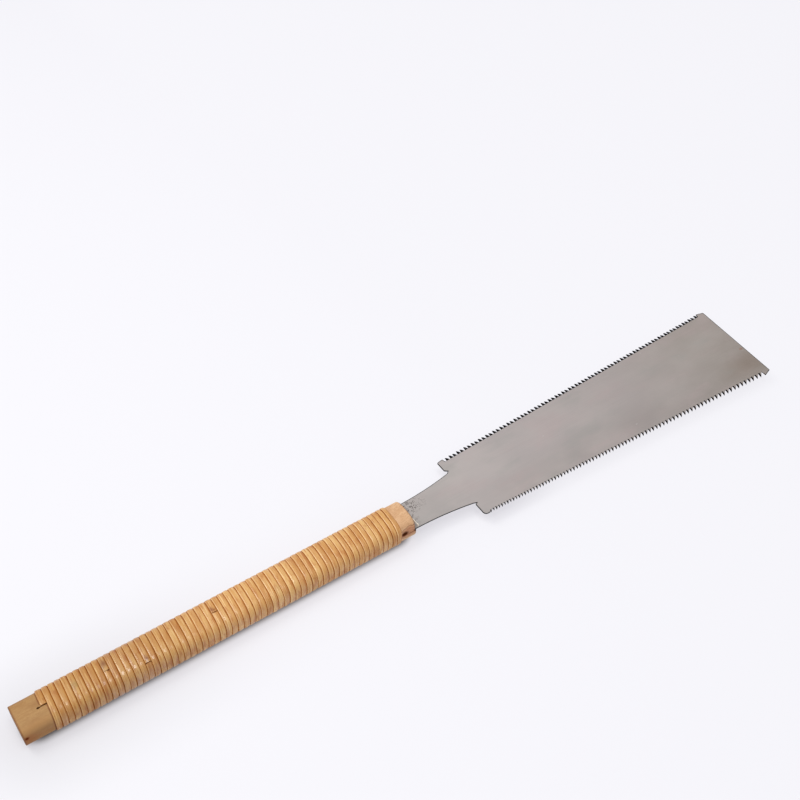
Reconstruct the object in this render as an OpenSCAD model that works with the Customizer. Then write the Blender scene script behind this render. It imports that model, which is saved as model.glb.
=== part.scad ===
// Double-edged pull saw with an oval wooden handle bound in rattan cane.
// X runs from the butt of the handle to the toe of the blade, Z is up, and the saw lies flat.
// The crosscut row is on the +Y edge and the rip row is on the -Y edge.
// The origin is under the middle of the saw, on the surface that it lies on.

/* [Handle] */
// Length of the wooden core
handle_len = 280.4; // [240:0.1:320]
// Width of the bare core, across the blade
core_w = 25; // [22:0.5:32]
// Thickness of the bare core, through the blade
core_t = 19; // [16:0.5:24]
// Squareness of the oval section: 2 is an ellipse, and more is squarer
squareness = 3; // [2:0.1:4]
// Bare wood between the butt and the first full turn of rattan
butt_bare = 20.7; // [12:0.1:40]
// Bare wood between the last turn of rattan and the head
head_bare = 7.6; // [5:0.1:30]

/* [Rattan] */
// Turns of rattan along the handle
turns = 62; // [50:1:64]
// Thickness of a rattan strip
rattan_t = 1; // [0.6:0.1:1.6]
// Groove between neighbouring turns
groove = 0.3; // [0.2:0.05:0.6]
// Bevel along both edges of a strip
strip_bevel = 0.45; // [0.2:0.05:0.8]
// Pitch of the middle turns, relative to the first ones
pitch_mid = 1.04; // [0.9:0.01:1.1]
// Pitch of the last turn at the head, relative to the first ones
pitch_head = 0.87; // [0.8:0.01:1.1]

/* [Blade] */
// Length of the blade outside the handle
blade_len = 311.8; // [300:0.1:340]
// Thickness of the blade
blade_t = 0.7; // [0.4:0.05:1]
// Width of the neck where it leaves the handle
neck_w = 23.4; // [18:0.1:24]
// Width of the neck where it meets the heel
neck_end_w = 31.8; // [28:0.1:40]
// Distance from the handle to the heel of the toothed plate
neck_len = 45.4; // [40:0.1:46]
// Width over the two ears at the heel
heel_w = 57; // [50:0.5:62]
// Width of the toe's end, from corner to corner
toe_w = 75.4; // [70:0.2:90]
// How much further the crosscut corner of the toe reaches than the rip corner
toe_slant = 2.8; // [0:0.1:6]
// Length of the tang inside the handle
tang_len = 110; // [80:1:150]
// Width of the tang at its end
tang_end_w = 13; // [8:0.5:18]

/* [Crosscut teeth] */
// Number of crosscut teeth
crosscut_count = 76; // [60:1:100]
// Height of a crosscut tooth
crosscut_h = 3.1; // [2:0.1:3.5]
// First gullet, measured from the handle
crosscut_start = 52.4; // [52.4:0.1:54]
// Last gullet, measured from the handle
crosscut_end = 305.6; // [290:0.1:306]
// Distance of the first tooth's tip from the centre line
crosscut_heel = 28.8; // [26:0.1:32]
// Distance of the last tooth's tip from the centre line
crosscut_toe = 39.3; // [36:0.1:46]

/* [Rip teeth] */
// Number of rip teeth
rip_count = 83; // [60:1:100]
// Last tooth's pitch relative to the first one's
rip_growth = 1.64; // [1:0.01:2]
// Height of a tooth relative to its pitch
rip_h_ratio = 1.1; // [0.6:0.01:1.2]
// First gullet, measured from the handle
rip_start = 51.2; // [51:0.1:54]
// Last gullet, measured from the handle
rip_end = 302.6; // [290:0.1:304]
// Distance of the first tooth's tip from the centre line
rip_heel = 29; // [26:0.1:32]
// Distance of the last tooth's tip from the centre line
rip_toe = 40; // [36:0.1:46]

/* [Hidden] */

overall_len = handle_len + blade_len;
butt_x = -overall_len / 2;
head_x = butt_x + handle_len;
mid_z = core_t / 2 + rattan_t;

// The slot at the head is open on both sides over this depth
slot_depth = 6;
// Corner at the end of the tang
tang_chamfer = 3;
// Neck and heel, measured from the handle and from the centre line
neck_r = (pow(neck_len, 2) + pow((neck_end_w - neck_w) / 2, 2)) / (neck_end_w - neck_w);
neck_points = 8;
notch_x = neck_len + 1.9;
crosscut_notch_y = neck_end_w / 2 + 1.6;
crosscut_ear_y = neck_end_w / 2 + 3.2;
rip_notch_y = neck_end_w / 2 + 0.9;
rip_ear_y = neck_end_w / 2 + 1.7;
crosscut_ear_x = neck_len - 0.2;
rip_ear_x = neck_len + 0.4;
ear_top_x = neck_len + 4;
ear_front = 0.9;
first_gullet = 1.3;
ear_chamfer = 0.6;
ear_radius = 2.6;
ear_radius_steps = 4;
// Outlines of one tooth as [along / pitch, height / full height], leaning to the handle
crosscut_tooth = [[0, 0], [0.1, 1], [0.44, 0.72], [0.84, 0]];
rip_tooth = [[0, 0], [-0.18, 1], [0.97, 0]];
// Glue that was squeezed out of the slot onto the upper side of the neck
glue_from_y = -11.2;
glue_to_y = 2.6;
glue_reach = 3.6;
glue_film = 0.3;
glue_heel = 0.9;

// Corner points of the core's section in one full turn
steps = 24;
// Turn number at each end of each strip, where 0 is the tail at the butt
splices = [0, 10, 15 + 20 / steps, 28, 43 + 20 / steps, turns - 12 / steps];
// Relative pitch by turn number
pitch_curve = [
    [0, 1], [turns * 0.31, 1], [turns * 0.36, pitch_mid], [turns * 0.68, pitch_mid], [turns, pitch_head]
];
travel = [for (k = 0, t = 0; k <= turns + 1; t = t + lookup(k, pitch_curve), k = k + 1) t];
first_pitch = (handle_len - butt_bare - head_bare) / travel[turns];
tail_x = butt_x + butt_bare - first_pitch / 2;

// Signed power, which makes the oval of the section
function oval(v) = sign(v) * pow(abs(v), 2 / squareness);

// Point [y, z] at height h above the core's surface; angle 0 is on top and 90 is at +Y
function section(angle, h) = [(core_w / 2 + h) * oval(sin(angle)), (core_t / 2 + h) * oval(cos(angle))];

// Centre of the strip after n turns, and its pitch there
function strip_x(n) = let (k = floor(n)) tail_x + first_pitch * (travel[k] + (n - k) * (travel[k + 1] - travel[k]));
function strip_pitch(n) = first_pitch * lookup(n, pitch_curve);

// Half-width of the neck at distance x from the handle
function neck_half(x) = neck_w / 2 + neck_r - sqrt(pow(neck_r, 2) - pow(x, 2));

// Distance of the tooth tips from the centre line, at distance x from the handle
function crosscut_tip(x) = crosscut_heel
    + (crosscut_toe - crosscut_heel) * (x - crosscut_start) / (crosscut_end - crosscut_start);
function rip_tip(x) = rip_heel + (rip_toe - rip_heel) * (x - rip_start) / (rip_end - rip_start);

// Start of rip tooth k and its pitch, which grows evenly from the heel to the toe
rip_first = 2 * (rip_end - rip_start) / (rip_count * (1 + rip_growth));
function rip_pitch(k) = rip_first * (1 + (rip_growth - 1) * k / (rip_count - 1));
function rip_x(k) = rip_start + rip_first * (k + (rip_growth - 1) * k * (k - 1) / (2 * (rip_count - 1)));

// The crosscut row's teeth, all of one pitch and height
crosscut_pitch = (crosscut_end - crosscut_start) / crosscut_count;
function crosscut_edge() = [
    for (k = [0:crosscut_count - 1], p = crosscut_tooth)
        let (x = crosscut_start + (k + p[0]) * crosscut_pitch)
        [x, crosscut_tip(x) - crosscut_h * (1 - p[1])]
];

// The rip row's teeth, whose height grows with their pitch
function rip_edge() = [
    for (k = [0:rip_count - 1], p = rip_tooth)
        let (x = rip_x(k) + p[0] * rip_pitch(k))
        [x, rip_tip(x) - rip_h_ratio * rip_pitch(k) * (1 - p[1])]
];

// Neck from the handle to the notch in front of the ear
function neck_edge(notch_y) = [
    for (i = [0:neck_points])
        let (x = neck_len * i / neck_points)
        [x, neck_half(x)],
    [notch_x, notch_y]
];

// Crosscut ear: a chamfer at the back, and in front a flat and a wide first gullet
function crosscut_ear() = [
    [crosscut_ear_x, crosscut_ear_y],
    [crosscut_ear_x, heel_w / 2 - 2 * ear_chamfer],
    [crosscut_ear_x + ear_chamfer, heel_w / 2 - ear_chamfer],
    [ear_top_x, heel_w / 2],
    [crosscut_start - first_gullet - ear_front, heel_w / 2],
    [crosscut_start - first_gullet, crosscut_tip(crosscut_start) - crosscut_h]
];

// Rip ear: a rounded corner at the back
function rip_ear() = let (cy = heel_w / 2 - ear_radius) [
    [rip_ear_x, rip_ear_y],
    for (i = [0:ear_radius_steps])
        let (a = 90 * i / ear_radius_steps)
        [rip_ear_x + ear_radius * (1 - cos(a)), cy + ear_radius * sin(a)],
    [rip_start - ear_front, heel_w / 2]
];

// Outline of the tang, in distances from the handle's head
function tang_half() = [
    [-tang_len, tang_end_w / 2 - tang_chamfer],
    [tang_chamfer - tang_len, tang_end_w / 2]
];

function flip(points) = [for (i = [len(points) - 1:-1:0]) [points[i][0], -points[i][1]]];

module at_head() {
    translate([head_x, 0, mid_z]) children();
}

module tang_outline() {
    polygon(concat(tang_half(), [[0, neck_w / 2], [0, -neck_w / 2]], flip(tang_half())));
}

module blade_outline() {
    polygon(concat(
        tang_half(),
        neck_edge(crosscut_notch_y),
        crosscut_ear(),
        crosscut_edge(),
        [[crosscut_end, crosscut_toe], [blade_len, toe_w / 2]],
        [[blade_len - toe_slant, -toe_w / 2], [rip_end, -rip_toe]],
        flip(concat(tang_half(), neck_edge(rip_notch_y), rip_ear(), rip_edge()))
    ));
}

module blade() {
    color([0.7, 0.67, 0.65])
        at_head()
            linear_extrude(blade_t, center = true)
                blade_outline();
}

// The core's section from one seam to the other, over the top
module half_section() {
    polygon([for (i = [-steps / 4:steps / 4]) section(i * 360 / steps, 0)]);
}

// One half of the core, lying on the seam plane, with room for half of the tang
module core_half() {
    difference() {
        translate([butt_x, 0, 0])
            rotate([90, 0, 90])
                linear_extrude(handle_len)
                    half_section();
        translate([head_x, 0, 0])
            linear_extrude(blade_t, center = true)
                tang_outline();
        translate([head_x - slot_depth, -core_w, -blade_t / 2])
            cube([2 * slot_depth, 2 * core_w, blade_t]);
    }
}

module handle_upper_half() {
    color([0.78, 0.62, 0.43])
        translate([0, 0, mid_z])
            core_half();
}

module handle_lower_half() {
    color([0.74, 0.57, 0.38])
        translate([0, 0, mid_z])
            mirror([0, 0, 1])
                core_half();
}

// A film on the neck that thickens to a fillet against the end of the wood
module glue_section() {
    polygon([[0, 0], [glue_reach, 0], [glue_reach - glue_film, glue_film], [glue_heel, glue_film], [0, glue_heel]]);
}

module mouth_glue() {
    color([0.9, 0.85, 0.76])
        at_head()
            translate([0, glue_to_y, blade_t / 2])
                rotate([90, 0, 0])
                    linear_extrude(glue_to_y - glue_from_y)
                        glue_section();
}

// Four corners of the strip's section after i steps: flat on the wood, bevelled outside
function strip_ring(i) = let (
    n = i / steps,
    x = strip_x(n),
    half = (strip_pitch(n) - groove) / 2,
    inner = section(360 * n, 0),
    outer = section(360 * n, rattan_t)
) [
    [x - half, inner[0], inner[1]],
    [x - half + strip_bevel, outer[0], outer[1]],
    [x + half - strip_bevel, outer[0], outer[1]],
    [x + half, inner[0], inner[1]]
];

module rattan_strip(number) {
    first = round(splices[number - 1] * steps);
    last = round(splices[number] * steps);
    rings = last - first;
    points = [for (i = [first:last]) each strip_ring(i)];
    sides = [
        for (i = [0:rings - 1])
            for (j = [0:3])
                let (a = 4 * i + j, b = 4 * i + (j + 1) % 4)
                each [[a, b, b + 4], [a, b + 4, a + 4]]
    ];
    ends = [[3, 2, 1, 0], [for (j = [0:3]) 4 * rings + j]];
    color([0.86, 0.66 - 0.02 * (number % 2), 0.42])
        translate([0, 0, mid_z])
            polyhedron(points, concat(sides, ends));
}

blade();
handle_upper_half();
handle_lower_half();
mouth_glue();
rattan_strip(1);  // rattan_strip_1
rattan_strip(2);  // rattan_strip_2
rattan_strip(3);  // rattan_strip_3
rattan_strip(4);  // rattan_strip_4
rattan_strip(5);  // rattan_strip_5
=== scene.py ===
"""Looks of a double-edged pull saw: steel blade, two-part wooden core, rattan binding and dried glue."""

import math

import bmesh
import bpy
import numpy as np
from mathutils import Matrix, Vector, noise


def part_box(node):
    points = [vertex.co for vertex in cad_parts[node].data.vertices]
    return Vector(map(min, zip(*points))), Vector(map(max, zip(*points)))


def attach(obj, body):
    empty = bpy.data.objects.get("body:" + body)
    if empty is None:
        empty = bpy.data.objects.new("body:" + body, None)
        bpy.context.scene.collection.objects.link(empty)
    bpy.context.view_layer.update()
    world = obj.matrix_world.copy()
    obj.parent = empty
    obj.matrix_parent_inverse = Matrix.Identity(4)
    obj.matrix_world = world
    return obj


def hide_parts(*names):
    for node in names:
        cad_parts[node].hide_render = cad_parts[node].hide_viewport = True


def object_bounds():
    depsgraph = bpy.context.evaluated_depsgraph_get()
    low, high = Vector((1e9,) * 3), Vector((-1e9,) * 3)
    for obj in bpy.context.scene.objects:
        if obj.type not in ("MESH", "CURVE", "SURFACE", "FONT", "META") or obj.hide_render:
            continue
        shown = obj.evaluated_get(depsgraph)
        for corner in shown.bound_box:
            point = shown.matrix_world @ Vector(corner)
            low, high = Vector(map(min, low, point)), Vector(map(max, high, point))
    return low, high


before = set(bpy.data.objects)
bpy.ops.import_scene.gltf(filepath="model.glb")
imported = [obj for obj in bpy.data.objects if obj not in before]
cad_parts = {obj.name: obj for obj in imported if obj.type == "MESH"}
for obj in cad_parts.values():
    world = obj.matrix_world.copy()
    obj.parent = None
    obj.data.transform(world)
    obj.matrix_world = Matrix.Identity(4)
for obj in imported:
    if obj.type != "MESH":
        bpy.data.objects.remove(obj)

MM = 0.001
CAD_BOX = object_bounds()

# ---------------------------------------------------------------- frame
CORE_LOW, CORE_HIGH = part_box("handle_upper_half")
BLADE_LOW, BLADE_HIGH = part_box("blade")
GLUE_LOW, GLUE_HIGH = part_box("mouth_glue")
BUTT_X, HEAD_X = CORE_LOW.x, CORE_HIGH.x
SEAM_Z = CORE_LOW.z
CORE_HALF_W = CORE_HIGH.y
CORE_HALF_T = CORE_HIGH.z - SEAM_Z
BLADE_T = BLADE_HIGH.z - BLADE_LOW.z
RATTAN_T = CAD_BOX[1].z - CORE_HIGH.z
# The same places in millimetres, for the paints
BUTT, HEAD, TOE, SEAM = BUTT_X / MM, HEAD_X / MM, BLADE_HIGH.x / MM, SEAM_Z / MM

# ---------------------------------------------------------------- handle
# Exponent of the superellipse that the section follows, and the points in its table
SQUARENESS = 3
SECTION_STEPS = 720
# Depth of the open slot at the head
SLOT_DEPTH = 6 * MM

# ---------------------------------------------------------------- rattan
TURNS = 62
# Bare wood at each end of the handle
BUTT_BARE = 20.7 * MM
HEAD_BARE = 7.6 * MM
# Turn numbers where the pitch changes, and the pitch there relative to the first
PITCH_TURNS = [0, 0.31 * TURNS, 0.36 * TURNS, 0.68 * TURNS, TURNS]
PITCH_RATIOS = [1, 1, 1.04, 1.04, 0.87]
# Turn number at each end of each strip
SPLICES = [-0.007, 9.993, 15.893, 27.997, 43 + 20 / 24, TURNS - 0.5]
RINGS_PER_TURN = 96
# Gap between one turn and the next
GROOVE = 0.05 * MM
# Length at a strip's end over which its cut is shaped
CUT_LENGTH = 4 * MM

# ---------------------------------------------------------------- teeth
# Least height of a tooth above its front
TOOTH_RISE = 1 * MM
# How far a tip is bent up or down
TOOTH_SET = 0.14 * MM
# No tooth stands nearer to the handle than this
EAR_LEN = 50 * MM
# Width of the rip teeth's filed faces, as a share of the tooth's width
RIP_BEVEL = 0.3

# ---------------------------------------------------------------- edges of the plate
# Height of the bevel, and its width on the rip side of the neck and elsewhere
EDGE_DROP = 0.06 * MM
NEAR_WIDTH = 0.3 * MM
DARK_WIDTH = 0.45 * MM


# ================================================================ shared tools
def new_object(name, points, faces, smooth_angle=None, slots=()):
    """A mesh object made of points and faces, flat shaded or smooth below an angle in degrees."""
    mesh = bpy.data.meshes.new(name)
    mesh.from_pydata([tuple(p) for p in points], [], faces)
    mesh.validate()
    for material in slots:
        mesh.materials.append(material)
    obj = bpy.data.objects.new(name, mesh)
    bpy.context.scene.collection.objects.link(obj)
    tidy_normals(mesh)
    if smooth_angle is not None:
        mesh.shade_smooth()
        mesh.set_sharp_from_angle(angle=math.radians(smooth_angle))
    return obj


def tidy_normals(mesh):
    """Turns the faces of a closed mesh outwards."""
    bm = bmesh.new()
    bm.from_mesh(mesh)
    bmesh.ops.recalc_face_normals(bm, faces=bm.faces)
    bm.to_mesh(mesh)
    bm.free()


def carve(obj, cutter):
    """Cuts the cutter out of obj and removes the cutter."""
    cut = obj.modifiers.new("cut", "BOOLEAN")
    cut.operation = "DIFFERENCE"
    cut.solver = "EXACT"
    cut.object = cutter
    graph = bpy.context.evaluated_depsgraph_get()
    mesh = bpy.data.meshes.new_from_object(obj.evaluated_get(graph), depsgraph=graph)
    obj.modifiers.clear()
    obj.data = mesh
    bpy.data.objects.remove(cutter)


def tube_faces(rings, width):
    """Faces of a tube made of rings, each of as many points as its width, with both ends closed."""
    faces = [list(range(width)), [(rings - 1) * width + k for k in range(width)][::-1]]
    for i in range(rings - 1):
        for k in range(width):
            j = (k + 1) % width
            faces.append([i * width + k, i * width + j, (i + 1) * width + j, (i + 1) * width + k])
    return faces


def prism(name, outline, z_low, z_high):
    """A closed prism over an outline of (x, y) points."""
    points = [(x, y, z) for z in (z_low, z_high) for x, y in outline]
    return new_object(name, points, tube_faces(2, len(outline)))


def add_marks(obj, name, values):
    """Gives every point of the mesh a value that its paint reads."""
    layer = obj.data.attributes.new(name, "FLOAT", "POINT")
    layer.data.foreach_set("value", values)


def wobble(seed, *where):
    """Smooth noise from -1 to 1 at up to three coordinates."""
    x, y, z = (list(where) + [0, 0])[:3]
    return noise.noise(Vector((x + 17.3 * seed, y - 5.1 * seed, z + 9.7 * seed)))


# ================================================================ materials
class Paint:
    """A material, made by short calls that add nodes and return their output."""

    def __init__(self, name, **shader_values):
        self.material = bpy.data.materials.new(name)
        self.material.use_nodes = True
        self.tree = self.material.node_tree
        self.shader = self.tree.nodes["Principled BSDF"]
        for socket, value in shader_values.items():
            self.shader.inputs[socket.replace("_", " ")].default_value = value

    def add(self, kind, output=0, inputs=(), **settings):
        node = self.tree.nodes.new(kind)
        for key, value in settings.items():
            setattr(node, key, value)
        for socket, value in inputs:
            self.put(node.inputs[socket], value)
        return node.outputs[output]

    def put(self, socket, value):
        if isinstance(value, bpy.types.NodeSocket):
            self.tree.links.new(value, socket)
        else:
            socket.default_value = value

    def place(self):
        """The point's place in the frame, in millimetres."""
        coordinates = self.add("ShaderNodeTexCoord", "Object")
        return self.scaled(coordinates, (1 / MM,) * 3)

    def scaled(self, vector, factors, offset=(0, 0, 0)):
        """The vector stretched by factors, then moved by the offset."""
        inputs = [("Vector", vector), ("Scale", factors), ("Location", offset)]
        return self.add("ShaderNodeMapping", inputs=inputs)

    def attribute(self, name):
        return self.add("ShaderNodeAttribute", "Fac", attribute_name=name)

    def axis(self, vector, letter):
        return self.add("ShaderNodeSeparateXYZ", letter, [("Vector", vector)])

    def vector(self, x, y, z):
        return self.add("ShaderNodeCombineXYZ", inputs=[(0, x), (1, y), (2, z)])

    def length(self, vector):
        return self.add("ShaderNodeVectorMath", "Value", [(0, vector)], operation="LENGTH")

    def noise(self, vector, scale=1.0, detail=3.0, roughness=0.5):
        inputs = [("Vector", vector), ("Scale", scale), ("Detail", detail), ("Roughness", roughness)]
        return self.add("ShaderNodeTexNoise", inputs=inputs)

    def cells(self, vector):
        """Distance to the nearest of scattered points."""
        return self.add("ShaderNodeTexVoronoi", inputs=[("Vector", vector), ("Scale", 1.0)])

    def maths(self, operation, a, b=0.0):
        return self.add("ShaderNodeMath", inputs=[(0, a), (1, b)], operation=operation)

    def between(self, value, low, high, to_low=0.0, to_high=1.0):
        """Maps low..high smoothly to to_low..to_high."""
        inputs = [(0, value), (1, low), (2, high), (3, to_low), (4, to_high)]
        return self.add("ShaderNodeMapRange", inputs=inputs, interpolation_type="SMOOTHSTEP")

    def near(self, vector, centre, radii, edge=0.5):
        """1 inside an ellipsoid and 0 outside, with a soft edge."""
        factors = tuple(1 / r for r in radii)
        offset = tuple(-c / r for c, r in zip(centre, radii))
        spot = self.scaled(vector, factors, offset)
        return self.between(self.length(spot), 1.0 - edge, 1.0, 1.0, 0.0)

    def mix(self, factor, a, b, blend="MIX"):
        inputs = [(0, factor), (6, a), (7, b)]
        return self.add("ShaderNodeMix", 2, inputs, data_type="RGBA", blend_type=blend)

    def ramp(self, value, stops):
        node = self.tree.nodes.new("ShaderNodeValToRGB")
        elements = node.color_ramp.elements
        while len(elements) < len(stops):
            elements.new(0.5)
        for element, (place, colour) in zip(elements, stops):
            element.position = place
            element.color = colour
        self.tree.links.new(value, node.inputs[0])
        return node.outputs[0]

    def bump(self, height, depth):
        inputs = [("Height", height), ("Distance", depth), ("Strength", 1.0)]
        return self.add("ShaderNodeBump", inputs=inputs)

    def finish(self, colour=None, roughness=None, normal=None):
        for socket, value in (("Base Color", colour), ("Roughness", roughness), ("Normal", normal)):
            if value is not None:
                self.put(self.shader.inputs[socket], value)
        return self.material


def srgb(red, green, blue):
    """A colour given in 0..255 display values, as Blender's linear colour."""
    def linear(v):
        v /= 255
        return v / 12.92 if v <= 0.04045 else ((v + 0.055) / 1.055) ** 2.4
    return (linear(red), linear(green), linear(blue), 1.0)


# Steel colours from the handle to the toe, painted reflection: lighter near the neck, darker and warmer
# towards the toe
STEEL_TONES = [
    (0.0, srgb(192, 185, 181)),
    (0.2, srgb(209, 200, 197)),
    (0.4, srgb(208, 198, 195)),
    (0.65, srgb(203, 193, 189)),
    (0.9, srgb(196, 186, 178)),
    (1.0, srgb(186, 175, 166)),
]


def steel_paint():
    """Ground sheet steel: lengthwise streaks, warmer and darker towards the toe as painted reflection,
    darker towards the rip edge as painted shade, pitted at the neck.
    """
    p = Paint("blade_steel", Metallic=1.0)
    place = p.place()
    along = p.axis(place, "X")
    aside = p.axis(place, "Y")
    streaks = p.noise(p.scaled(place, (0.02, 3.0, 1.0)), detail=4.0)
    fine = p.noise(p.scaled(place, (0.12, 14.0, 1.0)), detail=3.0)
    clouds = p.noise(p.scaled(place, (0.018, 0.03, 1.0)), detail=4.0, roughness=0.6)
    # Painted reflection: the tone darkens and warms from the neck towards the toe
    way = p.maths("DIVIDE", p.maths("SUBTRACT", along, HEAD), TOE - HEAD)
    base = p.ramp(way, STEEL_TONES)
    # Painted shade: beyond the neck the plate grows darker towards the rip edge
    on_plate = p.between(along, HEAD + 40, 60)
    aside_shade = p.maths("MULTIPLY", p.between(aside, 4, -28, 0.0, 0.2), on_plate)
    base = p.mix(aside_shade, base, srgb(140, 128, 118))
    base = p.mix(p.between(clouds, 0.35, 0.7, 0.0, 0.35), base, srgb(216, 206, 201))
    tints = p.noise(p.scaled(place, (0.022, 0.05, 1.0), (3.0, 8.0, 0.0)), detail=3.0, roughness=0.6)
    base = p.mix(p.between(tints, 0.5, 0.7, 0.0, 0.3), base, srgb(214, 194, 192))
    base = p.mix(p.between(tints, 0.48, 0.3, 0.0, 0.3), base, srgb(186, 186, 180))
    base = p.mix(p.between(streaks, 0.45, 0.75, 0.0, 0.12), base, srgb(160, 151, 147))

    # Rust near the toe
    rust = p.near(place, (TOE - 12, -24, SEAM), (40, 18, 9), edge=1.0)
    base = p.mix(p.maths("MULTIPLY", rust, 0.25), base, srgb(150, 120, 96))
    rust_dot = p.near(place, (TOE - 4.6, -9, SEAM), (2.4, 1.5, 4), edge=0.8)
    base = p.mix(p.maths("MULTIPLY", rust_dot, 0.5), base, srgb(178, 122, 94))

    # Pits on the neck
    pit_cells = p.cells(p.scaled(place, (1.15, 1.6, 1.0)))
    pit_size = p.noise(place, scale=0.35)
    pit_edge = p.between(pit_size, 0.3, 0.6, 0.1, 0.52)
    pits = p.between(p.maths("SUBTRACT", pit_cells, pit_edge), -0.05, 0.1, 1, 0)
    pit_area = p.near(place, (HEAD + 5, 6.5, SEAM), (18, 9, 6), edge=0.7)
    mouth_area = p.near(place, (HEAD + 3, 0, SEAM), (6, 13, 6), edge=0.6)
    pitted = p.maths("MULTIPLY", pits, p.maths("MAXIMUM", pit_area, p.maths("MULTIPLY", mouth_area, 0.7)))
    base = p.mix(p.maths("MULTIPLY", pitted, 0.75), base, srgb(62, 54, 50))

    # A few bright scuffs
    scuffs = p.cells(p.scaled(place, (0.05, 0.11, 1.0)))
    base = p.mix(p.between(scuffs, 0.03, 0.05, 0.6, 0.0), base, srgb(226, 222, 218))

    roughness = p.between(p.maths("ADD", fine, clouds), 0.7, 1.3, 0.37, 0.45)
    roughness = p.maths("ADD", roughness, p.maths("MULTIPLY", pitted, 0.3))
    relief = p.maths("ADD", p.maths("MULTIPLY", fine, 0.6), streaks)
    relief = p.maths("SUBTRACT", relief, p.maths("MULTIPLY", pitted, 6.0))
    return p.finish(base, roughness, p.bump(relief, 0.004 * MM))


def dark_paint(name, light, dark, metal):
    """Steel that heat or a file has left dark, with file marks across it; part of its darkness is painted
    reflection of dark surroundings.
    """
    p = Paint(name, Metallic=metal, Specular_IOR_Level=0.2)
    place = p.place()
    marks = p.noise(p.scaled(place, (2.0, 2.0, 30.0)), detail=2.0)
    patches = p.noise(place, scale=0.9)
    base = p.mix(p.between(patches, 0.35, 0.7), dark, light)
    return p.finish(base, p.between(marks, 0.3, 0.7, 0.42, 0.55), p.bump(marks, 0.01 * MM))


# Pale and deep colours of the wood at each end
BUTT_WOOD = (srgb(172, 134, 85), srgb(152, 111, 66))
HEAD_WOOD = (srgb(227, 190, 150), srgb(200, 156, 116))
# Middle of the knot's lens
KNOT = (HEAD - 9.6, -CORE_HALF_W / MM, SEAM + 1.7)


def paint_knot(p, place, base):
    """The knot on the rip side of the head: a red-brown field under dark arcs, round a dark lens."""
    stretch = (0.118, 0.16, 0.217)
    centre = (KNOT[0] + 4, KNOT[1], KNOT[2])
    spot = p.scaled(place, stretch, [-c * share for c, share in zip(centre, stretch)])
    twist = p.noise(p.scaled(place, (0.2, 0.25, 0.25)), detail=2.0)
    away = p.length(spot)
    away = p.maths("ADD", away, p.maths("MULTIPLY", twist, 0.45))
    field = p.between(away, 0.9, 1.25, 1.0, 0.0)
    base = p.mix(p.maths("MULTIPLY", field, 0.6), base, srgb(178, 112, 78))
    arcs = p.between(p.maths("ABSOLUTE", p.maths("SUBTRACT", away, 1.2)), 0.0, 0.09, 1.0, 0.0)
    base = p.mix(p.maths("MULTIPLY", arcs, 0.75), base, srgb(126, 72, 48))
    inner = p.between(p.maths("SINE", p.maths("MULTIPLY", away, 24.0)), 0.2, 1.0)
    base = p.mix(p.maths("MULTIPLY", inner, p.maths("MULTIPLY", field, 0.4)), base, srgb(138, 78, 52))
    lens = p.near(place, KNOT, (4.2, 4.0, 3.1), edge=0.7)
    base = p.mix(lens, base, srgb(62, 26, 12))
    return base, lens


def paint_butt(p, place, height, at_head, base):
    """Marks at the butt: a bruise and a dent from use, a pale shoulder that is painted light on the rip
    side's upper rounding, and a brown under side that is painted shade.
    """
    bruise_spot = (BUTT + 2.0, -CORE_HALF_W / MM, SEAM)
    bruise = p.near(place, bruise_spot, (10.0, 6.0, 7.5), edge=1.0)
    base = p.mix(p.maths("MULTIPLY", bruise, 0.85), base, srgb(150, 88, 38))
    # Painted light: a paler band on the rip side's upper rounding
    shoulder = p.maths("MULTIPLY", p.between(height, 9.2, 7.6), p.between(height, 2.5, 6.0))
    shoulder = p.maths("MULTIPLY", shoulder, p.between(p.axis(place, "Y"), 0, -4, 0.0, 0.26))
    shoulder = p.maths("MULTIPLY", shoulder, p.between(at_head, 1, 0))
    base = p.mix(shoulder, base, srgb(212, 164, 110))
    # Painted shade: browner on the under side, most at the butt
    under_side = p.between(height, 4.0, -1, 0.0, 0.42)
    under_side = p.maths("MULTIPLY", under_side, p.between(at_head, 0, 1, 1.0, 0.3))
    base = p.mix(under_side, base, srgb(150, 98, 48))
    dent_spot = (BUTT + 1.9, -CORE_HALF_W / MM, SEAM + 2.0)
    dent = p.near(place, dent_spot, (2.1, 3.0, 1.9), edge=0.8)
    base = p.mix(dent, base, srgb(96, 40, 12))
    return base, dent


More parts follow.
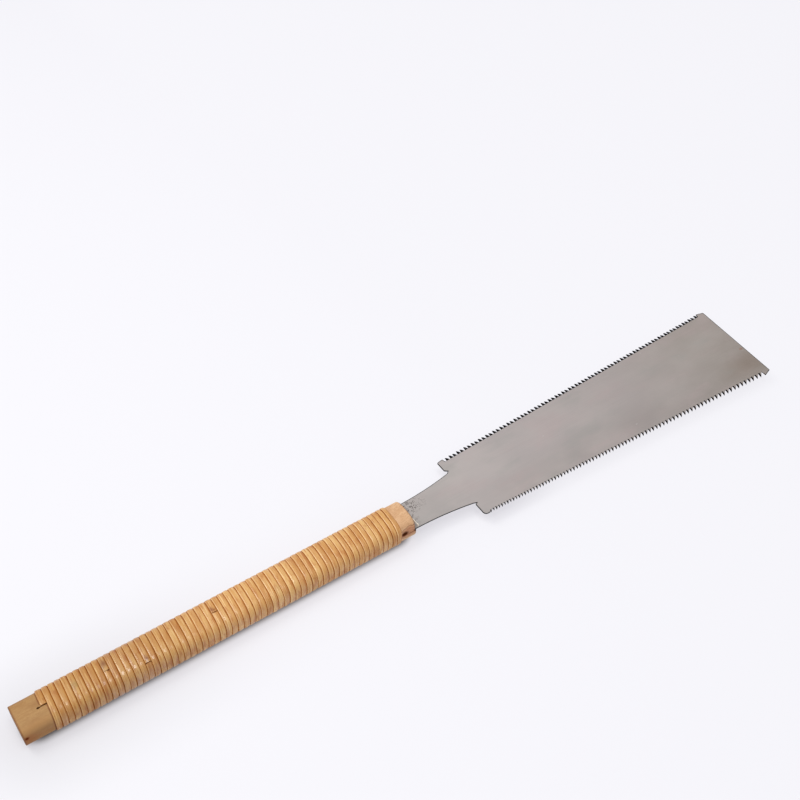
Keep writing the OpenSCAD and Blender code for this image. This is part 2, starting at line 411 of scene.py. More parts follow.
def wood_paint(name, seed):
    """Sanded hardwood, browner at the butt: rings, pores, a knot at the head and a bruise at the butt."""
    p = Paint(name)
    place = p.place()
    along = p.axis(place, "X")
    at_head = p.between(along, -60, -40)
    slow = p.noise(p.scaled(place, (0.012, 0.08, 0.08), (seed, 0, 0)), detail=3.0)
    spot = p.scaled(place, (0.01, 1.0, 1.0), (0, 21.0 + seed, -30.0))
    across = p.length(spot)
    across = p.maths("ADD", across, p.maths("MULTIPLY", slow, 5.0))
    rings = p.maths("FRACT", p.maths("MULTIPLY", across, 0.55))
    grain = p.noise(p.scaled(place, (0.06, 3.5, 3.5)), detail=5.0, roughness=0.6)
    pores = p.noise(p.scaled(place, (0.35, 9.0, 9.0)), detail=2.0)
    clouds = p.noise(p.scaled(place, (0.05, 0.12, 0.12)), detail=3.0)
    mottle = p.noise(p.scaled(place, (0.35, 0.7, 0.7)), detail=4.0, roughness=0.65)
    pale = p.mix(at_head, BUTT_WOOD[0], HEAD_WOOD[0])
    deep = p.mix(at_head, BUTT_WOOD[1], HEAD_WOOD[1])
    base = p.mix(p.between(clouds, 0.3, 0.7), deep, pale)
    base = p.mix(p.between(mottle, 0.4, 0.7, 0.0, 0.5), base, deep)
    freckles = p.noise(p.scaled(place, (0.6, 1.3, 1.3)), detail=3.0, roughness=0.6)
    base = p.mix(p.between(freckles, 0.48, 0.68, 0.0, 0.4), base, srgb(150, 106, 64))
    base = p.mix(p.between(rings, 0.35, 1.0, 0.0, 0.3), base, deep)
    base = p.mix(p.between(grain, 0.45, 0.75, 0.0, 0.3), base, deep)
    dark_pores = p.between(pores, 0.6, 0.72, 0.0, 0.35)
    base = p.mix(dark_pores, base, srgb(128, 88, 52))

    height = p.maths("SUBTRACT", p.axis(place, "Z"), SEAM)
    base, lens = paint_knot(p, place, base)
    base, dent = paint_butt(p, place, height, at_head, base)

    # A brown edge at the butt, and at the mouth a brown band that is painted shade on the head's rounded
    # end
    base = p.mix(p.between(along, BUTT + 0.3, BUTT + 1.3, 0.7, 0.0), base, srgb(118, 72, 36))
    base = p.mix(p.between(along, HEAD - 1.2, HEAD - 0.5, 0.0, 0.8), base, srgb(128, 76, 50))

    # A dark brown line on the wood beside the rattan's first turn
    round_share = p.maths("ARCTAN2", p.axis(place, "Y"), height)
    round_share = p.maths("FRACT", p.maths("DIVIDE", round_share, 2 * math.pi))
    edge_x = p.maths("MULTIPLY", round_share, FIRST_PITCH / MM)
    edge_x = p.maths("ADD", edge_x, (TAIL_X - FIRST_PITCH / 2) / MM)
    from_edge = p.maths("ABSOLUTE", p.maths("SUBTRACT", along, edge_x))
    base = p.mix(p.between(from_edge, 0.2, 1.1, 0.85, 0.0), base, srgb(116, 66, 30))

    # A dark corner at the end of the slot
    corner = p.near(place, (HEAD, GLUE_LOW.y / MM - 0.6, SEAM), (2.6, 2.0, 2.4), edge=0.7)
    base = p.mix(p.maths("MULTIPLY", corner, 0.9), base, srgb(44, 26, 20))

    # Browner wood under the rattan, and a red-brown line along the seam
    bound_from, bound_to = (BUTT_X + BUTT_BARE) / MM, (HEAD_X - HEAD_BARE) / MM
    bound = p.between(along, bound_from + 1, bound_from + 2)
    bound = p.maths("MULTIPLY", bound, p.between(along, bound_to - 5, bound_to - 7))
    base = p.mix(bound, base, srgb(150, 100, 58))
    seam = p.between(p.maths("ABSOLUTE", height), 0.1, 0.45, 0.7, 0.0)
    seam = p.maths("MULTIPLY", seam, p.between(at_head, 0, 1, 0.25, 1.0))
    base = p.mix(seam, base, srgb(140, 78, 48))

    dull = p.maths("MAXIMUM", bound, p.maths("MAXIMUM", dent, lens))
    p.put(p.shader.inputs["Specular IOR Level"], p.between(dull, 0, 1, 0.25, 0.0))
    relief = p.maths("SUBTRACT", grain, p.maths("MULTIPLY", dark_pores, 0.8))
    return p.finish(base, p.between(grain, 0.3, 0.7, 0.5, 0.62), p.bump(relief, 0.03 * MM))


# Cane colours, and the tint of the strips' butt end
CANE = (srgb(175, 115, 58), srgb(204, 153, 91), srgb(221, 180, 117))
BUTT_TONE = (0.77, 0.715, 0.6, 1.0)


def rattan_paint(seed):
    """Cane skin: fibres along the strip, tone that drifts along it, painted shade in the grooves, joints.
    """
    p = Paint(f"rattan_{seed}", Coat_Roughness=0.17)
    along = p.attribute("along")
    across = p.attribute("across")
    lift = p.attribute("lift")
    skin = p.vector(along, across, float(seed) * 7.0)
    fibres = p.noise(p.scaled(skin, (0.09, 5.5, 1.0)), detail=4.0, roughness=0.6)
    bands = p.noise(p.scaled(skin, (0.013, 0.12, 1.0)), detail=3.0, roughness=0.65)
    blotches = p.noise(p.scaled(skin, (0.11, 0.7, 1.0)), detail=4.0, roughness=0.65)
    flecks = p.noise(p.scaled(skin, (0.8, 4.0, 1.0)), detail=2.0)
    streaks = p.noise(p.scaled(skin, (0.045, 2.0, 1.0), (9, 4, 0)), detail=3.0, roughness=0.6)
    base = p.ramp(bands, [(0.3, CANE[0]), (0.47, CANE[1]), (0.66, CANE[2])])
    base = p.mix(p.between(blotches, 0.48, 0.7, 0.0, 0.8), base, srgb(178, 112, 54))
    base = p.mix(p.between(fibres, 0.46, 0.76, 0.0, 0.5), base, srgb(170, 110, 56))
    base = p.mix(p.between(streaks, 0.54, 0.7, 0.0, 0.7), base, srgb(240, 204, 148))
    base = p.mix(p.between(streaks, 0.45, 0.3, 0.0, 0.7), base, srgb(172, 108, 54))
    base = p.mix(p.between(flecks, 0.66, 0.74, 0.0, 0.55), base, srgb(122, 74, 36))

    # A pale butt-side edge that is painted highlight, and painted shade on the other edge, in the grooves
    # and low on the handle
    pale = p.between(across, -0.6, -0.9, 0.0, 0.7)
    base = p.mix(p.maths("MULTIPLY", pale, p.between(fibres, 0.3, 0.6)), base, srgb(238, 202, 148))
    # Painted shade along the head-side edge of each strip
    groove_shade = p.between(p.maths("ADD", across, p.maths("MULTIPLY", blotches, 0.5)), 0.75, 1.15, 0.0, 0.85)
    base = p.mix(groove_shade, base, srgb(168, 102, 44))
    # Painted shade on the low walls at the grooves
    base = p.mix(p.between(lift, 0.3, 0.85, 0.85, 0.0), base, srgb(178, 104, 42))
    place = p.place()
    # Painted shade, browner in patches low on the handle
    low = p.between(p.axis(place, "Z"), SEAM + 6.5, SEAM, 0.0, 0.55)
    base = p.mix(p.maths("MULTIPLY", low, p.between(blotches, 0.4, 0.6)), base, srgb(168, 106, 54))

    # Grey-green joints, scars, and the browner butt end
    grey = p.noise(p.scaled(skin, (0.5, 0.5, 1.0)), detail=2.0)
    grey = p.maths("MULTIPLY", p.attribute("ring"), p.between(grey, 0.3, 0.6, 0.3, 1.0))
    base = p.mix(grey, base, srgb(178, 148, 98))
    base = p.mix(p.attribute("scar"), base, srgb(134, 76, 40))
    tone = p.mix(p.between(p.axis(place, "X"), -225, -150), BUTT_TONE, (1, 1, 1, 1))
    base = p.mix(1.0, base, tone, "MULTIPLY")

    # Gloss in patches, most of it where the hand rubs
    gloss = p.noise(p.scaled(skin, (0.05, 0.25, 1.0), (5, 0, 0)), detail=3.0)
    rubbed = p.near(place, (BUTT + 72, 0, SEAM), (30, 40, 40), edge=1.0)
    glossy = p.maths("ADD", p.between(gloss, 0.42, 0.62, 0.0, 0.6), p.maths("MULTIPLY", rubbed, 0.75))
    on_top = p.between(lift, 0.5, 0.95)
    p.put(p.shader.inputs["Coat Weight"], p.maths("MULTIPLY", glossy, on_top))
    p.put(p.shader.inputs["Specular IOR Level"], p.maths("MULTIPLY", on_top, 0.35))
    roughness = p.between(p.maths("ADD", fibres, blotches), 0.7, 1.3, 0.34, 0.5)
    relief = p.maths("ADD", fibres, p.maths("MULTIPLY", flecks, -0.5))
    return p.finish(base, roughness, p.bump(relief, 0.03 * MM))


def glue_paint():
    """Dried wood glue: a white crumbly rim, and a clear film with grime under it."""
    p = Paint("dried_glue")
    place = p.place()
    lumps = p.noise(place, scale=2.5, detail=4.0)
    film = p.mix(p.between(lumps, 0.35, 0.7), srgb(174, 166, 160), srgb(128, 116, 106))
    rim = p.mix(p.between(lumps, 0.4, 0.75), srgb(244, 238, 226), srgb(214, 196, 164))
    base = p.mix(p.attribute("pale"), film, rim)
    return p.finish(base, p.between(lumps, 0.3, 0.7, 0.4, 0.65), p.bump(lumps, 0.15 * MM))


# The floor's glow and its own colour, round the handle and round the blade; round the blade the floor is
# darker and glows more, which paints out the blade's shadow
HANDLE_GLOW = (0.59, 0.583, 0.625, 1.0)
BLADE_GLOW = (0.795, 0.788, 0.83, 1.0)
HANDLE_BASE = (0.28, 0.28, 0.282, 1.0)
BLADE_BASE = (0.1, 0.1, 0.101, 1.0)
# Where the first gives way to the second, along the saw in millimetres
GLOW_CHANGE = (45.0, 105.0)
# The painted shadow under the handle, a patch without glow: how far the ends of its middle line lie
# inside the handle's ends, and the distances from that line between which it fades
PATCH_INSIDE = 12.5
PATCH_EDGE = (7.2, 15.1)
# Distances from the same line between which the painted shadow round the butt, a dimmed glow, fades back
# to full glow
DIM_EDGE = (12.0, 70.0)


def floor_paint():
    """Like a light table, so that shadows are faint: it glows everywhere but under the handle, where the
    missing glow and the dimmer glow round the butt are painted shadow; round the blade it glows more,
    painting out the blade's shadow.
    """
    p = Paint("floor", Roughness=0.9)
    place = p.place()
    along = p.axis(place, "X")
    # Round the blade the floor is darker and glows more, painting out the blade's shadow
    at_blade = p.between(along, *GLOW_CHANGE)
    base = p.mix(at_blade, HANDLE_BASE, BLADE_BASE)
    past_end = p.maths("ABSOLUTE", p.maths("SUBTRACT", along, (BUTT + HEAD) / 2))
    past_end = p.maths("SUBTRACT", past_end, (HEAD - BUTT) / 2 - PATCH_INSIDE)
    away = p.vector(p.maths("MAXIMUM", past_end, 0.0), p.axis(place, "Y"), 0.0)
    away = p.length(away)
    # Painted shadow: the glow dims round the butt and is cut out under the handle
    dimmed = p.between(along, BUTT, BUTT + 200, 0.83, 0.98)
    dimmed = p.between(away, *DIM_EDGE, dimmed, 1.0)
    lit = p.maths("MULTIPLY", p.between(away, *PATCH_EDGE), dimmed)
    glow = p.mix(lit, (0.0, 0.0, 0.0, 1.0), p.mix(at_blade, HANDLE_GLOW, BLADE_GLOW))
    p.put(p.shader.inputs["Emission Color"], glow)
    p.put(p.shader.inputs["Emission Strength"], 1.0)
    return p.finish(base)


# ================================================================ blade
def top_outline(node):
    """The outline of a flat CAD node, seen from above, as (x, y) points anticlockwise."""
    bm = bmesh.new()
    bm.from_mesh(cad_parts[node].data)
    bmesh.ops.remove_doubles(bm, verts=bm.verts, dist=0.001 * MM)
    bm.normal_update()
    bmesh.ops.delete(bm, geom=[f for f in bm.faces if f.normal.z < 0.5], context="FACES")
    inner = [e for e in bm.edges if len(e.link_faces) == 2]
    bmesh.ops.dissolve_edges(bm, edges=inner, use_verts=False)
    bm.faces.ensure_lookup_table()
    points = [(v.co.x, v.co.y) for v in bm.faces[0].verts]
    bm.free()
    doubled_area = sum(a[0] * b[1] - b[0] * a[1] for a, b in zip(points, points[1:] + points[:1]))
    return points if doubled_area > 0 else points[::-1]


def find_teeth(outline, side):
    """Teeth of the row on the given side: lists of point numbers from a tooth's front to its back."""
    count = len(outline)
    height = [side * y for _, y in outline]
    walk = [i for i in range(count) if height[i] > 0 and outline[i][0] > HEAD_X]
    walk.sort(key=lambda i: (side * -i) % count)
    start = next(k for k, i in enumerate(walk) if outline[i][0] == min(outline[j][0] for j in walk))
    walk = walk[start:] + walk[:start]
    tips = [
        k for k in range(1, len(walk) - 1)
        if height[walk[k]] > height[walk[k - 1]] + TOOTH_RISE and height[walk[k]] > height[walk[k + 1]]
        and outline[walk[k]][0] > HEAD_X + EAR_LEN
    ]
    # The last rise found is the land at the toe, whose front is the last tooth's back
    teeth = [walk[a - 1:b - 1] for a, b in zip(tips, tips[1:-1])]
    return teeth + [walk[tips[-2] - 1:tips[-1]]]


def corner_direction(before, here, after):
    """Direction and length of a unit inset at an outline's corner."""
    ax, ay = here[0] - before[0], here[1] - before[1]
    bx, by = after[0] - here[0], after[1] - here[1]
    la, lb = math.hypot(ax, ay), math.hypot(bx, by)
    nx, ny = -ay / la - by / lb, ax / la + bx / lb
    scale = 2 / max(nx * nx + ny * ny, 0.5)
    return nx * scale, ny * scale


def bevel_insets(outline):
    """How far the bevel reaches inwards at each point of the plate's outline."""
    insets = []
    for i, here in enumerate(outline):
        dx, dy = corner_direction(outline[i - 1], here, outline[(i + 1) % len(outline)])
        near_side = dy > 0.7 * math.hypot(dx, dy)
        width = NEAR_WIDTH if near_side else DARK_WIDTH
        insets.append((dx * width, dy * width))
    return insets


# Numbers of the blade's materials
PLATE, BLACK, DARK = range(3)


def make_blade():
    """The plate with its neck and tang: bevelled edges, and teeth filed and set to alternate sides."""
    outline = top_outline("blade")
    count = len(outline)
    # Each face's outline, and how far each of its points is bent up, lowered and moved inwards
    filed = {1: list(outline), -1: list(outline)}
    bend = [0.0] * count
    drop = [EDGE_DROP] * count
    inset = bevel_insets(outline)
    teeth = []
    fronts = set()
    for side, narrowing, shortening in ((1, 0.12 * MM, 0.08), (-1, 0.15 * MM, 0.06)):
        for k, tooth in enumerate(find_teeth(outline, side)):
            face = 1 if k % 2 else -1
            front, tip, back = outline[tooth[0]], outline[tooth[1]], outline[tooth[-1]]
            middle_x = (front[0] + back[0]) / 2
            for i in tooth:
                x, y = outline[i]
                share = (y - front[1]) / (tip[1] - front[1])
                bend[i] = face * TOOTH_SET * max(share, 0) if i not in (tooth[0], tooth[-1]) else 0.0
                drop[i] = 0.03 * MM
                inset[i] = (0.0, 0.0)
                to_middle = middle_x - x
                inward = math.copysign(min(narrowing * (1 - 0.6 * share), abs(to_middle)), to_middle)
                filed[-face][i] = (x + inward, y - side * shortening * abs(y - front[1]))
            if side < 0:
                inset[tooth[0]] = ((back[0] - front[0]) * RIP_BEVEL, 0.0)
                inset[tooth[1]] = ((back[0] - tip[0]) * RIP_BEVEL, (back[1] - tip[1]) * RIP_BEVEL)
                drop[tooth[0]] = drop[tooth[1]] = 0.15 * MM
            teeth.append((side, tooth))
            fronts.add(frozenset(tooth[:2]))
    # Four rings from top to bottom: upper face, upper edge, lower edge, lower face
    middle_z = (BLADE_LOW.z + BLADE_HIGH.z) / 2
    points = []
    for face, inner in ((1, True), (1, False), (-1, False), (-1, True)):
        for (x, y), (dx, dy), up, down in zip(filed[face], inset, bend, drop):
            height = middle_z + up + face * (BLADE_T / 2 - (0.0 if inner else down))
            points.append((x + dx, y + dy, height) if inner else (x, y, height))
    in_teeth = {i for _, tooth in teeth for i in tooth[1:-1]}
    plate = [i for i in range(count) if i not in in_teeth]
    # The crosscut teeth's faces are near-black: hardened steel, and painted reflection of dark
    # surroundings
    shapes = [(plate, PLATE)] + [(tooth, BLACK if side > 0 else PLATE) for side, tooth in teeth]
    faces, paints = [], []
    for ring, turned in ((0, False), (3, True)):
        for shape, paint in shapes:
            face = [ring * count + i for i in shape]
            faces.append(face[::-1] if turned else face)
            paints.append(paint)
    crosscut = {i for side, tooth in teeth if side > 0 for i in tooth}
    for ring in range(3):
        for i in range(count):
            j = (i + 1) % count
            upper, lower = ring * count, (ring + 1) * count
            faces.append([upper + i, lower + i, lower + j, upper + j])
            # Near-black bands on the crosscut teeth and rip fronts, dark bands on all other edges:
            # hardening and oxide, and painted reflection of dark surroundings
            on_tooth = {i, j} <= crosscut or frozenset((i, j)) in fronts
            paints.append(BLACK if on_tooth else DARK)
    dark_wall = dark_paint("dark_edge", srgb(26, 24, 23), srgb(14, 13, 12), 0.0)
    black_teeth = dark_paint("hardened_teeth_with_painted_reflection", srgb(44, 42, 44), srgb(28, 27, 29), 1.0)
    blade = new_object("blade_plate", points, faces, slots=(steel_paint(), black_teeth, dark_wall))
    blade.data.polygons.foreach_set("material_index", paints)
    return blade


# ================================================================ handle section
def section_table():
    """Points, normals and arc lengths round the core's oval, from the top towards +Y, by equal angles."""
    angle = np.linspace(0, 2 * math.pi, SECTION_STEPS + 1)
    power = 2 / SQUARENESS
    y = CORE_HALF_W * np.sign(np.sin(angle)) * np.abs(np.sin(angle)) ** power
    z = CORE_HALF_T * np.sign(np.cos(angle)) * np.abs(np.cos(angle)) ** power
    arc = np.concatenate([[0], np.cumsum(np.hypot(np.diff(y), np.diff(z)))])
    ny = np.sign(y) * np.abs(y / CORE_HALF_W) ** (SQUARENESS - 1) / CORE_HALF_W
    nz = np.sign(z) * np.abs(z / CORE_HALF_T) ** (SQUARENESS - 1) / CORE_HALF_T
    length = np.hypot(ny, nz)
    return angle / (2 * math.pi), arc, y, z, ny / length, nz / length


ANGLE, ARC, OVAL_Y, OVAL_Z, NORMAL_Y, NORMAL_Z = section_table()
GIRTH = ARC[-1]


def on_oval(turn, height):
    """Point (y, z) at a height above the core, at a share of the way round measured along the surface."""
    arc = (turn % 1.0) * GIRTH
    y = np.interp(arc, ARC, OVAL_Y) + height * np.interp(arc, ARC, NORMAL_Y)
    z = np.interp(arc, ARC, OVAL_Z) + height * np.interp(arc, ARC, NORMAL_Z)
    return y, z


def arc_turn(turn):
    """Turns counted by angle, as the CAD counts them, changed to turns counted along the surface."""
    whole = math.floor(turn)
    return whole + np.interp(turn - whole, ANGLE, ARC / GIRTH)


# ================================================================ wooden core
def end_rounding(up, at_head, y):
    """Radius of the rounded end: small at the butt, large on top of the head and at its rip side."""
    if not at_head:
        return 0.5 * MM
    if up < 0:
        return 1.0 * MM
    return (1.9 + 1.3 * max(0.0, -y / CORE_HALF_W) ** 1.5) * MM


def make_core_half(name, up, paint):
    """One half of the core: an oval stick split at the seam, with rounded ends."""
    seam_edge = 0.04 * MM
    steps_round, steps_section = 7, 56
    bends = np.linspace(0, math.pi / 2, steps_round)
    bare_butt = np.arange(BUTT_X + 1 * MM, BUTT_X + BUTT_BARE + 2 * MM, 0.5 * MM)
    hidden = np.arange(BUTT_X + BUTT_BARE + 4 * MM, HEAD_X - HEAD_BARE - 8 * MM, 4 * MM)
    bare_head = np.arange(HEAD_X - HEAD_BARE - 6 * MM, HEAD_X - 3.4 * MM, 0.5 * MM)
    # Each station: where it is, the bend of its end's rounding, and which end it belongs to
    stations = [(BUTT_X, a, False) for a in bends]
    stations += [(x, None, False) for x in np.concatenate([bare_butt, hidden, bare_head])]
    stations += [(HEAD_X, a, True) for a in bends[::-1]]
    points = []
    for place, bend, at_head in stations:
        for k in range(steps_section + 1):
            turn = 0.75 + 0.5 * k / steps_section
            y, z = on_oval(turn, 0.0)
            x = place
            if bend is not None:
                radius = end_rounding(up, at_head, y)
                x += (-1 if at_head else 1) * radius * (1 - math.cos(bend))
                y, z = on_oval(turn, -radius * (1 - math.sin(bend)))
            z = abs(z)
            if k in (0, steps_section):
                y, z = y - math.copysign(seam_edge, y), 0.0
            dent = 0.05 * MM * wobble(1, x / (9 * MM), y / (5 * MM), up * z / (5 * MM))
            shrink = 1 - (0.05 * MM + dent) / CORE_HALF_W
            lowest = seam_edge if 0 < k < steps_section else 0
            points.append((x, y * shrink, SEAM_Z + up * max(z * shrink, lowest)))
    half = new_object(name, points, tube_faces(len(stations), steps_section + 1), slots=(paint,))
    cut_tang_pocket(half)
    return half


def cut_tang_pocket(half):
    """Takes out the space for the tang, and the open slot at the head."""
    outline = top_outline("blade")
    tang = [p for p in outline if p[0] < HEAD_X - 1 * MM]
    neck = [p for p in outline if abs(p[0] - HEAD_X) < 0.1 * MM]
    neck_half = max(y for _, y in neck)
    past, aside = HEAD_X + 2 * MM, 20 * MM
    ring = [(past, neck_half), (HEAD_X, neck_half)] + sorted([q for q in tang if q[1] > 0], reverse=True)
    ring += sorted([q for q in tang if q[1] <= 0]) + [(HEAD_X, -neck_half), (past, -neck_half)]
    carve(half, prism("tang_space", ring, BLADE_LOW.z, BLADE_HIGH.z))
    deep = HEAD_X - SLOT_DEPTH
    slot = [(deep, -aside), (past, -aside), (past, aside), (deep, aside)]
    carve(half, prism("slot_space", slot, BLADE_LOW.z, BLADE_HIGH.z))


def cut_tail_slit(half):
    """The slit in the wood that holds the start of the first strip."""
    tip, end = BUTT_X + 13.6 * MM, BUTT_X + 20.5 * MM
    widest, neck = tip + 1 * MM, tip + 2.8 * MM
    y, wide, narrow, depth = -1.75 * MM, 0.85 * MM, 0.3 * MM, 2.6 * MM
    near_side = [(widest, y - wide), (neck, y - narrow), (end, y - narrow)]
    far_side = [(end, y + narrow), (neck, y + narrow), (widest, y + wide)]
    ring = near_side + far_side + [(tip, y)]
    carve(half, prism("slit_space", ring, CORE_HIGH.z - depth, CORE_HIGH.z + depth))


# ================================================================ rattan
def strip_places():
    """Distance along the handle after each whole turn, in the first pitch as unit."""
    travel = [0.0]
    for k in range(TURNS + 1):
        travel.append(travel[-1] + np.interp(k, PITCH_TURNS, PITCH_RATIOS))
    return np.array(travel)


TRAVEL = strip_places()
FIRST_PITCH = (HEAD_X - BUTT_X - BUTT_BARE - HEAD_BARE) / TRAVEL[TURNS]
TAIL_X = BUTT_X + BUTT_BARE - FIRST_PITCH / 2


def strip_x(turn):
    return TAIL_X + FIRST_PITCH * np.interp(turn, np.arange(len(TRAVEL)), TRAVEL)


def strip_pitch(turn):
    return FIRST_PITCH * np.interp(turn, PITCH_TURNS, PITCH_RATIOS)


# Cane joints: turn number and how green-grey they are
CANE_NODES = [(5.0, 0.7), (22.3, 0.25), (37.9, 0.3), (43.7, 0.7), (52.2, 0.3)]
# Brown scars in the skin: splice number, distance past it in mm, place across, length and width, strength
SCARS = [
    (1, 5.4, 0.0, 3.0, 1.3, 0.8),
    (1, 2.0, -0.7, 1.6, 0.35, 0.4),
    (2, 2.1, 0.0, 1.3, 0.6, 0.9),
    (2, 4.2, -0.3, 0.9, 0.5, 0.4),
    (3, 2.4, -0.5, 2.0, 0.45, 0.9),
    (3, 1.4, 0.3, 1.0, 0.5, 0.8),
    (5, -14.0, -0.1, 9.0, 0.3, 0.55),
    (5, -40.0, 0.4, 6.0, 0.3, 0.4),
]
# Points across a strip, from its butt-side edge at -1 to its head-side edge at 1
CROWN = [-1, -0.99, -0.965, -0.92, -0.8, -0.55, -0.25, 0.05, 0.35, 0.58, 0.74, 0.84, 0.91, 0.96, 1]


def crown_height(u):
    """Height of the strip's skin relative to its thickness, at u from one edge to the other."""
    if u < 0:
        return 0.36 + 0.64 * max(0.0, 1 - abs(u) ** 6) ** 0.55
    return 0.32 + 0.68 * max(0.0, 1 - u ** 3.2) ** 0.75


def cut_back(number, at_end, u):
    """How far a strip's end is cut back from the splice, at u across it."""
    if number == 1 and at_end:
        return (0.2 + 1.8 * min(1.0, max(0.0, (u - 0.1) / 0.5))) * MM
    if number == 2 and not at_end:
        return (0.05 + 0.5 * max(0.0, (u - 0.5) / 0.5)) * MM
    if number == 2 and at_end:
        return (0.3 + 0.5 * abs(u)) * MM
    if number == 3 and at_end:
        return (0.35 + 0.9 * max(0.0, 1 - abs(u - 0.3) / 0.7)) * MM
    return 0.08 * MM


def scar_at(turn, u):
    """Strength of the brown scars at a turn, at u across the strip."""
    total = 0.0
    for splice, past, across, length, width, strength in SCARS:
        away = (turn - arc_turn(SPLICES[splice])) * GIRTH / MM - past
        if abs(away) < 3 * length:
            total += strength * math.exp(-(away / length) ** 2 - ((u - across) / width) ** 2)
    return min(total, 1.0)


def make_strip(number):
    """One length of cane, wound from splice to splice."""
    first, last = arc_turn(SPLICES[number - 1]), arc_turn(SPLICES[number])
    rings = round((last - first) * RINGS_PER_TURN)
    rows, marks = [], []
    for i in range(rings + 1):
        turn = first + (last - first) * i / rings
        shift = 0.16 * MM * wobble(3, turn * 1.3) + 0.06 * MM * wobble(4, turn * 7)
        half = (strip_pitch(turn) - GROOVE) / 2 + 0.05 * MM * wobble(5, turn * 1.1)
        thick = RATTAN_T * (0.95 + 0.05 * wobble(6, turn * 2.1))
        tilt = 0.06 * wobble(7, turn * 1.7) - 0.05
        swell, green = 0.0, 0.0
        for centre, colour in CANE_NODES:
            away = (turn - centre) * GIRTH
            swell += math.exp(-(away / (0.9 * MM)) ** 2)
            green += colour * math.exp(-(away / (3.0 * MM)) ** 2)
        if number == len(SPLICES) - 1:
            half *= 0.45 + 0.55 * min(1.0, (last - turn) / 0.6)
        from_first, to_last = (turn - first) * GIRTH, (last - turn) * GIRTH
        row = []
        for u in [-1] + CROWN + [1]:
            at_wood = len(row) in (0, len(CROWN) + 1)
            share = 0.0 if at_wood else crown_height(u) * (1 - abs(tilt) + tilt * u)
            end_pull = 0.0
            if from_first < CUT_LENGTH:
                end_pull = cut_back(number, False, u) * (1 - from_first / CUT_LENGTH)
            if to_last < CUT_LENGTH:
                end_pull = -cut_back(number, True, u) * (1 - to_last / CUT_LENGTH)
            here = turn + end_pull / GIRTH
            height = max(0.0, share * thick * (0.95 + 0.05 * swell))
            y, z = on_oval(here, height)
            row.append((strip_x(here) + shift + u * half, y, SEAM_Z + z))
            marks.append((here * GIRTH / MM, u, share, min(green, 1.0), scar_at(here, u)))
        rows.append(row)
    points = [point for row in rows for point in row]
    faces = tube_faces(rings + 1, len(rows[0]))
    cane = (rattan_paint(number),)
    strip = new_object(f"rattan_binding_{number}", points, faces, smooth_angle=40, slots=cane)
    for name, values in zip(("along", "across", "lift", "ring", "scar"), zip(*marks)):
        add_marks(strip, name, values)
    return strip


# ================================================================ glue
def make_glue():
    """Dried glue that ran out over the neck: a fillet, a thin film and a ragged raised rim."""
    steps, film = 160, 0.04 * MM
    reach_limit, rise_limit = GLUE_HIGH.x - GLUE_LOW.x, GLUE_HIGH.z - GLUE_LOW.z
    points, pale = [], []
    for i in range(steps + 1):
        y = GLUE_HIGH.y + (GLUE_LOW.y - GLUE_HIGH.y) * i / steps
        ends = min(1.0, 12 * i / steps, 12 * (steps - i) / steps)
        ragged = 0.93 + 0.1 * wobble(11, y / (1.6 * MM)) + 0.06 * wobble(12, y / (0.4 * MM))
        reach = reach_limit * min(ragged, 1.0) * (0.6 + 0.4 * ends) * (0.75 + 0.25 * i / steps)
        rim = (0.3 + 0.18 * wobble(13, y / (0.8 * MM)) + 0.1 * wobble(14, y / (0.3 * MM))) * MM
        rim = max(rim, 0.05 * MM) * ends
        heel = rise_limit * (0.7 + 0.3 * wobble(15, y / (1.5 * MM))) * (0.2 + 0.8 * ends)
        profile = [(0, 0), (0, heel), (0.12, heel * 0.35), (0.25, film * 1.5), (0.6, film), (0.74, film)]
        profile += [(0.8, rim * 0.8), (0.88, rim), (0.97, rim * 0.8), (1, 0)]
        points += [(GLUE_LOW.x + reach * x, y, GLUE_LOW.z + z) for x, z in profile]
        pale += [1.0 if x > 0.78 and rim > 0.08 * MM else 0.0 for x, _ in profile]
    faces = tube_faces(steps + 1, len(profile))
    glue = new_object("glue_film", points, faces, smooth_angle=60, slots=(glue_paint(),))
    add_marks(glue, "pale", pale)
    return glue


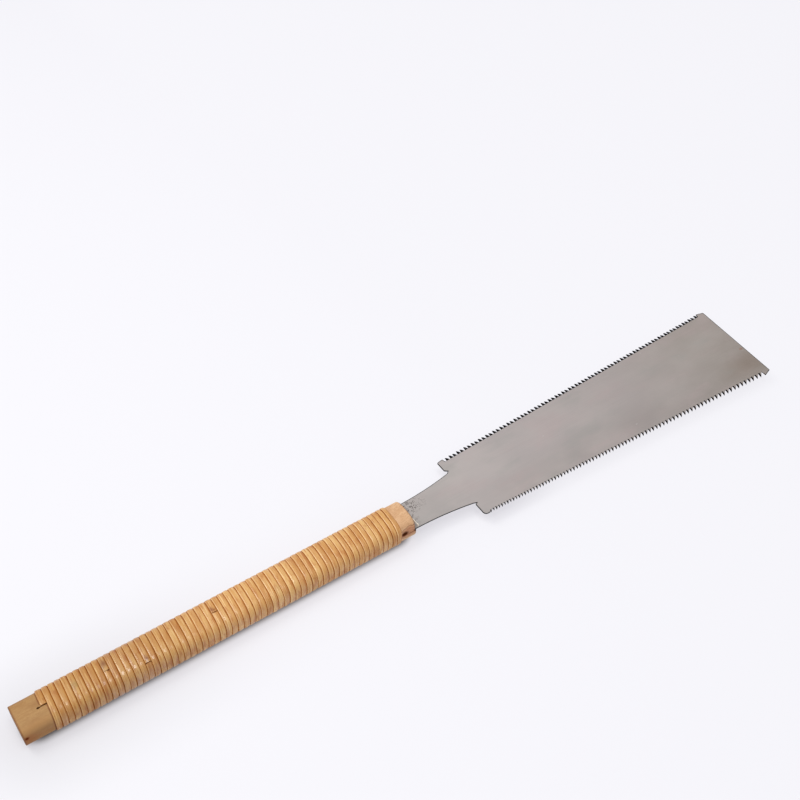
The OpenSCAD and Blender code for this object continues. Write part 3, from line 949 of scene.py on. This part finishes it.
# ================================================================ stage
def make_floor():
    size = 60.0
    corners = [(-size, -size, 0), (size, -size, 0), (size, size, 0), (-size, size, 0)]
    floor = new_object("floor", corners, [[0, 1, 2, 3]], slots=(floor_paint(),))


def make_softbox(name, place, target, size, power, colour):
    light = bpy.data.lights.new(name, "AREA")
    light.shape = "RECTANGLE"
    light.size, light.size_y = size
    light.energy = power
    light.color = colour
    obj = bpy.data.objects.new(name, light)
    obj.location = place
    obj.rotation_mode = "QUATERNION"
    obj.rotation_quaternion = (Vector(target) - Vector(place)).to_track_quat("-Z", "Y")
    bpy.context.scene.collection.objects.link(obj)


def make_world():
    world = bpy.data.worlds.new("studio")
    world.use_nodes = True
    background = world.node_tree.nodes["Background"]
    background.inputs["Color"].default_value = (0.97, 0.98, 1.0, 1.0)
    background.inputs["Strength"].default_value = 0.61
    bpy.context.scene.world = world


def make_camera():
    """Above the butt on the rip side, looking along and down at the saw."""
    camera = bpy.data.cameras.new("camera")
    camera.lens = 55.5
    camera.sensor_width = 36.0
    obj = bpy.data.objects.new("camera", camera)
    obj.location = (-0.3116, -0.4293, 0.6756)
    obj.rotation_euler = (math.radians(43.53), 0.0, math.radians(-34.1))
    bpy.context.scene.collection.objects.link(obj)
    bpy.context.scene.camera = obj


# ================================================================ the saw
def place_piece(obj, node):
    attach(obj, "root")
    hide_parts(node)


make_camera()
make_world()
make_floor()
make_softbox("key", (-0.7, 0.55, 1.5), (0, 0, 0), (1.0, 1.0), 16.0, (1.0, 0.98, 0.96))
make_softbox("top", (-0.05, -0.32, 1.5), (0, 0, 0), (0.35, 0.6), 5.0, (1.0, 1.0, 1.0))

place_piece(make_blade(), "blade")
upper = make_core_half("core_upper", 1, wood_paint("core_wood_upper", 0.0))
cut_tail_slit(upper)
place_piece(upper, "handle_upper_half")
lower = make_core_half("core_lower", -1, wood_paint("core_wood_lower", 3.0))
place_piece(lower, "handle_lower_half")
for strip_number in range(1, len(SPLICES)):
    place_piece(make_strip(strip_number), f"rattan_strip_{strip_number}")
place_piece(make_glue(), "mouth_glue")

bpy.context.scene.view_settings.view_transform = "Standard"
